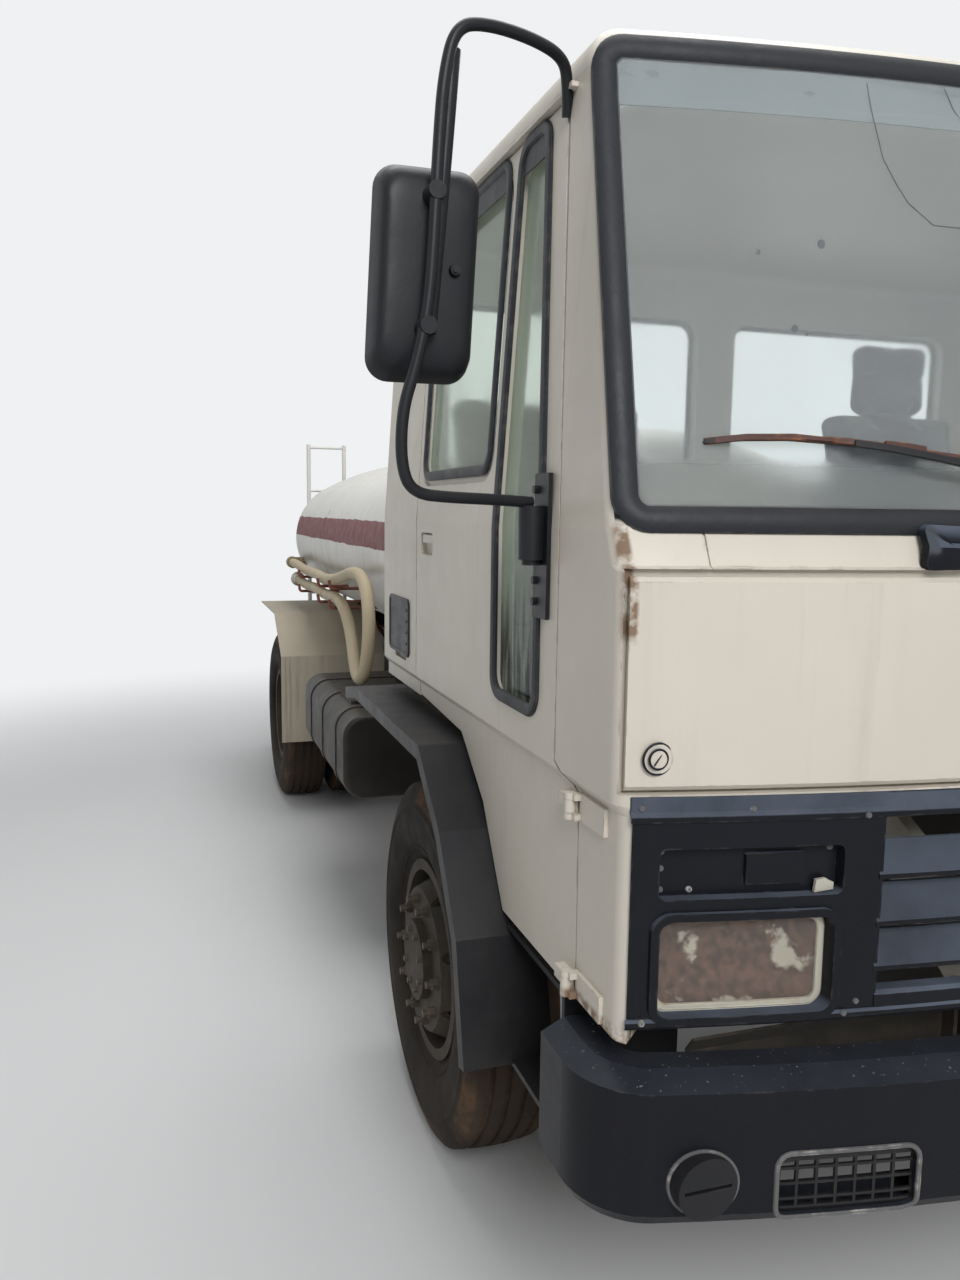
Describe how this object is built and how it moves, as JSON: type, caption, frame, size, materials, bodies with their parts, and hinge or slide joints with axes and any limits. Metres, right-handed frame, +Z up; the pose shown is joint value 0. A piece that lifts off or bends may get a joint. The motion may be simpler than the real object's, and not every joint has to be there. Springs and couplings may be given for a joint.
{
  "type": "water tanker truck",
  "caption": "Two-axle water tanker truck with a tilting forward-control cab, an oval tank, opening doors and front panel, steered front wheels and a hung hose.",
  "frame": {"origin": "on the ground, at the middle of the bounding box's bottom", "axes": "+X to the truck's left, +Y to its rear, +Z up"},
  "size_m": [2.972, 6.15, 2.6449],
  "materials": {
    "axle_iron": "oily iron with dust",
    "cab_cream": "warm cream paint, dusty, with dents and rust",
    "coupling_alloy": "dull cast alloy",
    "dash_beige": "sun-faded beige",
    "engine_iron": "oily cast iron",
    "exhaust_rust": "rusted pipe",
    "frame_black": "dusty black chassis paint",
    "fuel_tank_grey": "dusty dark grey paint",
    "hose_cream": "cream reinforced hose",
    "lamp_clear": "clear lamp lens over a dull reflector",
    "lamp_red": "red lens",
    "mudguard_cream": "dirty cream sheet",
    "plastic_black": "matte black moulding, faded",
    "radiator_grey": "dusty painted core",
    "red_oxide": "red oxide primer",
    "rim_steel": "dusty dark rim paint",
    "seal_rubber": "black seal",
    "seat_cloth": "worn brown cloth",
    "spring_steel": "rusty leaf steel",
    "tank_white": "weathered white gloss paint",
    "trim_black": "worn satin black paint with dust",
    "tyre_rubber": "worn tyre with dried mud",
    "valve_brass": "painted cast valve, worn",
    "window_glass": "tinted glass",
    "wiper_rust": "rusty arm"
  },
  "bodies": {
    "chassis": {"chassis_rails": "frame_black", "crossmembers": "frame_black", "front_bumper": "trim_black", "bumper_fittings": "plastic_black", "front_axle": "axle_iron", "rear_axle": "axle_iron", "leaf_springs": "spring_steel", "engine": "engine_iron", "radiator": "radiator_grey", "exhaust": "exhaust_rust", "fuel_tank": "fuel_tank_grey", "battery_box": "frame_black", "cab_mounts": "frame_black", "water_tank": "tank_white", "tank_cradle": "frame_black", "lid_hinge": "tank_white", "tank_ladder": "tank_white", "rear_mudguards": "mudguard_cream", "mudguard_braces": "red_oxide", "rear_bumper": "frame_black", "rear_lamps": "lamp_red", "outlet_valve": "valve_brass", "hose": "hose_cream", "hose_coupling": "coupling_alloy", "hose_hooks": "red_oxide"},
    "cab": {"cab_floor": "cab_cream", "cab_rear_wall": "cab_cream", "cab_roof": "cab_cream", "cab_sides": "cab_cream", "cab_front": "cab_cream", "grille": "trim_black", "headlamps": "lamp_clear", "cab_glass": "window_glass", "windscreen_seal": "seal_rubber", "wipers": "wiper_rust", "dashboard": "dash_beige", "seat_pads": "seat_cloth", "seat_frames": "frame_black", "cab_mudguards": "plastic_black"},
    "front_panel": {"front_panel": "cab_cream"},
    "steering_wheel": {"steering_wheel": "plastic_black"},
    "tank_lid": {"tank_lid": "tank_white"},
    "tie_rod": {"tie_rod": "axle_iron"},
    "door_left": {"door_left": "cab_cream", "door_glass_left": "window_glass", "mirror_left": "plastic_black"},
    "knuckle_left": {"knuckle_left": "axle_iron"},
    "front_wheel_left": {"wheel_front_left": "rim_steel", "tyre_front_left": "tyre_rubber"},
    "rear_wheels_left": {"wheels_rear_left": "rim_steel", "tyres_rear_left": "tyre_rubber"},
    "door_right": {"door_right": "cab_cream", "door_glass_right": "window_glass", "mirror_right": "plastic_black"},
    "knuckle_right": {"knuckle_right": "axle_iron"},
    "front_wheel_right": {"wheel_front_right": "rim_steel", "tyre_front_right": "tyre_rubber"},
    "rear_wheels_right": {"wheels_rear_right": "rim_steel", "tyres_rear_right": "tyre_rubber"}
  },
  "joints": [
    {"name": "cab_tilt", "type": "hinge", "parent": "chassis", "child": "cab", "pos_m": [0, -2.93, 0.94], "axis": [1, 0, 0], "range_deg": [0, 45]},
    {"name": "front_panel_hinge", "type": "hinge", "parent": "cab", "child": "front_panel", "pos_m": [0, -3.01245, 1.697], "axis": [-1, 0, 0], "range_deg": [0, 78]},
    {"name": "tank_lid_hinge", "type": "hinge", "parent": "chassis", "child": "tank_lid", "pos_m": [0, 0.823, 2.198], "axis": [-1, 0, 0], "range_deg": [0, 110]},
    {"name": "steer_left", "type": "hinge", "parent": "chassis", "child": "knuckle_left", "pos_m": [0.85, -1.65, 0.51], "axis": [0, 0, 1], "range_deg": [-35, 35]},
    {"name": "steer_right", "type": "hinge", "parent": "chassis", "child": "knuckle_right", "pos_m": [-0.85, -1.65, 0.51], "axis": [0, 0, 1], "range_deg": [-35, 35]},
    {"name": "tie_rod_pin", "type": "hinge", "parent": "knuckle_left", "child": "tie_rod", "pos_m": [0.85, -1.45, 0.38], "axis": [0, 0, 1], "range_deg": [-35, 35]},
    {"name": "steering_wheel_turn", "type": "hinge", "parent": "cab", "child": "steering_wheel", "pos_m": [0.55, -2.37, 1.85], "axis": [0, 0.402, 0.9156], "range_deg": [-630, 630]},
    {"name": "door_left_hinge", "type": "hinge", "parent": "cab", "child": "door_left", "pos_m": [1.157, -2.723, 1.5], "axis": [0, 0, -1], "range_deg": [0, 70]},
    {"name": "front_spin_left", "type": "hinge", "parent": "knuckle_left", "child": "front_wheel_left", "pos_m": [1.03, -1.65, 0.51], "axis": [1, 0, 0], "continuous": true},
    {"name": "rear_spin_left", "type": "hinge", "parent": "chassis", "child": "rear_wheels_left", "pos_m": [0.89, 1.99, 0.51], "axis": [1, 0, 0], "continuous": true},
    {"name": "door_right_hinge", "type": "hinge", "parent": "cab", "child": "door_right", "pos_m": [-1.157, -2.723, 1.5], "axis": [0, 0, 1], "range_deg": [0, 70]},
    {"name": "front_spin_right", "type": "hinge", "parent": "knuckle_right", "child": "front_wheel_right", "pos_m": [-1.03, -1.65, 0.51], "axis": [1, 0, 0], "continuous": true},
    {"name": "rear_spin_right", "type": "hinge", "parent": "chassis", "child": "rear_wheels_right", "pos_m": [-0.89, 1.99, 0.51], "axis": [1, 0, 0], "continuous": true}
  ],
  "couplings": [
    {"joint": "steer_right", "follows": "steer_left", "ratio": 1},
    {"joint": "tie_rod_pin", "follows": "steer_left", "ratio": -1},
    {"joint": "steering_wheel_turn", "follows": "steer_left", "ratio": 18}
  ]
}
